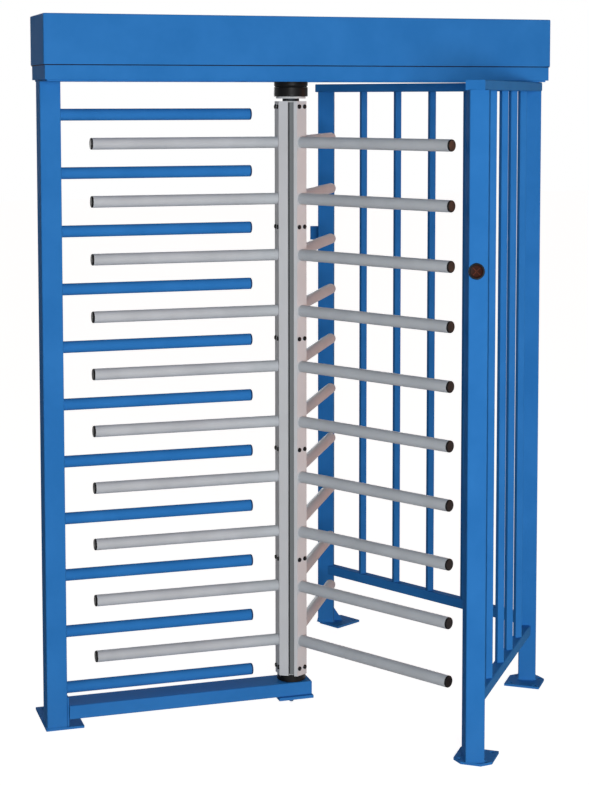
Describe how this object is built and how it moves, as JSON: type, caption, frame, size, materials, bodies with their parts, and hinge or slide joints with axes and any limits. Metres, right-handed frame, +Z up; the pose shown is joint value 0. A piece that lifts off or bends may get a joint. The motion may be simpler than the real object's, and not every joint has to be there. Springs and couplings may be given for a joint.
{
  "type": "full height turnstile",
  "caption": "Full height pedestrian turnstile: a rotor with wings of horizontal arms turns between a barred comb and a barred cage, under a long drive canopy.",
  "frame": {"origin": "on the floor under the rotor axis", "axes": "+Z up along the rotor axis, +X from the comb towards the cage, +Y through the passage"},
  "size_m": [1.7468, 1.6452, 2.3],
  "materials": {
    "blue_paint": "painted",
    "grey_paint": "painted",
    "black_plastic": "satin",
    "zinc_steel": "zinc plated",
    "black_steel": "blackened",
    "bearing_steel": "ground",
    "lens": "gloss",
    "circuit": "matt",
    "rubber": "matt",
    "aluminium": "brushed"
  },
  "bodies": {
    "frame": {"left_base_plate": "blue_paint", "left_post": "blue_paint", "comb_bars": "blue_paint", "comb_bar_caps": "black_plastic", "beam_flange": "blue_paint", "floor_beam": "blue_paint", "beam_end_plate": "blue_paint", "rotor_floor_plate": "blue_paint", "levelling_stud": "zinc_steel", "front_post": "blue_paint", "right_post": "blue_paint", "back_post": "blue_paint", "front_base_plate": "blue_paint", "right_base_plate": "blue_paint", "back_base_plate": "blue_paint", "back_post_gusset": "blue_paint", "side_lower_rail": "blue_paint", "back_lower_rail": "blue_paint", "side_top_rail": "blue_paint", "back_top_rail": "blue_paint", "top_rail_plugs": "blue_paint", "side_panel_bars": "blue_paint", "back_panel_bars": "blue_paint", "canopy_mount_frame": "blue_paint", "canopy_tray": "blue_paint", "canopy_cover": "blue_paint", "fixed_collar": "black_plastic", "thrust_pad": "bearing_steel", "bottom_bearing": "bearing_steel", "top_bearing": "bearing_steel", "top_bearing_housing": "aluminium", "head_brackets": "zinc_steel", "solenoids": "black_steel", "damper_body": "aluminium", "control_board": "circuit", "power_supply": "aluminium", "cable_gland": "black_plastic", "indicator_bezels": "black_plastic", "indicator_lenses": "lens", "rear_indicator_box": "blue_paint"},
    "rotor": {"rotor_column": "grey_paint", "column_end_plates": "zinc_steel", "column_bolts": "black_steel", "wing_1_arms": "grey_paint", "wing_1_caps": "black_plastic", "wing_2_arms": "grey_paint", "wing_2_caps": "black_plastic", "wing_3_arms": "grey_paint", "wing_3_caps": "black_plastic", "top_shaft": "bearing_steel", "top_ring": "grey_paint", "top_collar": "black_plastic", "bottom_pivot": "bearing_steel", "bottom_collar": "black_plastic", "stop_disc": "zinc_steel"},
    "pawl_a": {"pawl_a": "zinc_steel"},
    "pawl_b": {"pawl_b": "zinc_steel"},
    "plunger_a": {"plunger_a": "bearing_steel"},
    "plunger_b": {"plunger_b": "bearing_steel"},
    "damper_roller": {"damper_roller": "rubber"}
  },
  "joints": [
    {"name": "rotor_turn", "type": "hinge", "parent": "frame", "child": "rotor", "pos_m": [0, 0, 0], "axis": [0, 0, 1], "continuous": true},
    {"name": "pawl_a_swing", "type": "hinge", "parent": "frame", "child": "pawl_a", "pos_m": [0.155, 0.05, 2.169], "axis": [0, 0, 1], "range_deg": [-26, 0], "stiffness_Nm_per_rad": 0.2, "springref_deg": 17.19},
    {"name": "pawl_b_swing", "type": "hinge", "parent": "frame", "child": "pawl_b", "pos_m": [-0.155, -0.05, 2.169], "axis": [0, 0, 1], "range_deg": [-26, 0], "stiffness_Nm_per_rad": 0.2, "springref_deg": 17.19},
    {"name": "plunger_a_slide", "type": "slide", "parent": "frame", "child": "plunger_a", "axis": [1, 0, 0], "range_m": [0, 0.0095]},
    {"name": "plunger_b_slide", "type": "slide", "parent": "frame", "child": "plunger_b", "axis": [-1, 0, 0], "range_m": [0, 0.0095]},
    {"name": "damper_spin", "type": "hinge", "parent": "frame", "child": "damper_roller", "pos_m": [0.11356, -0.05295, 2.155], "axis": [0, 0, 1], "continuous": true}
  ],
  "couplings": [
    {"joint": "plunger_a_slide", "follows": "pawl_a_swing", "m_per_rad": -0.020752},
    {"joint": "plunger_b_slide", "follows": "pawl_b_swing", "m_per_rad": -0.020752},
    {"joint": "damper_spin", "follows": "rotor_turn", "ratio": -5.25}
  ]
}
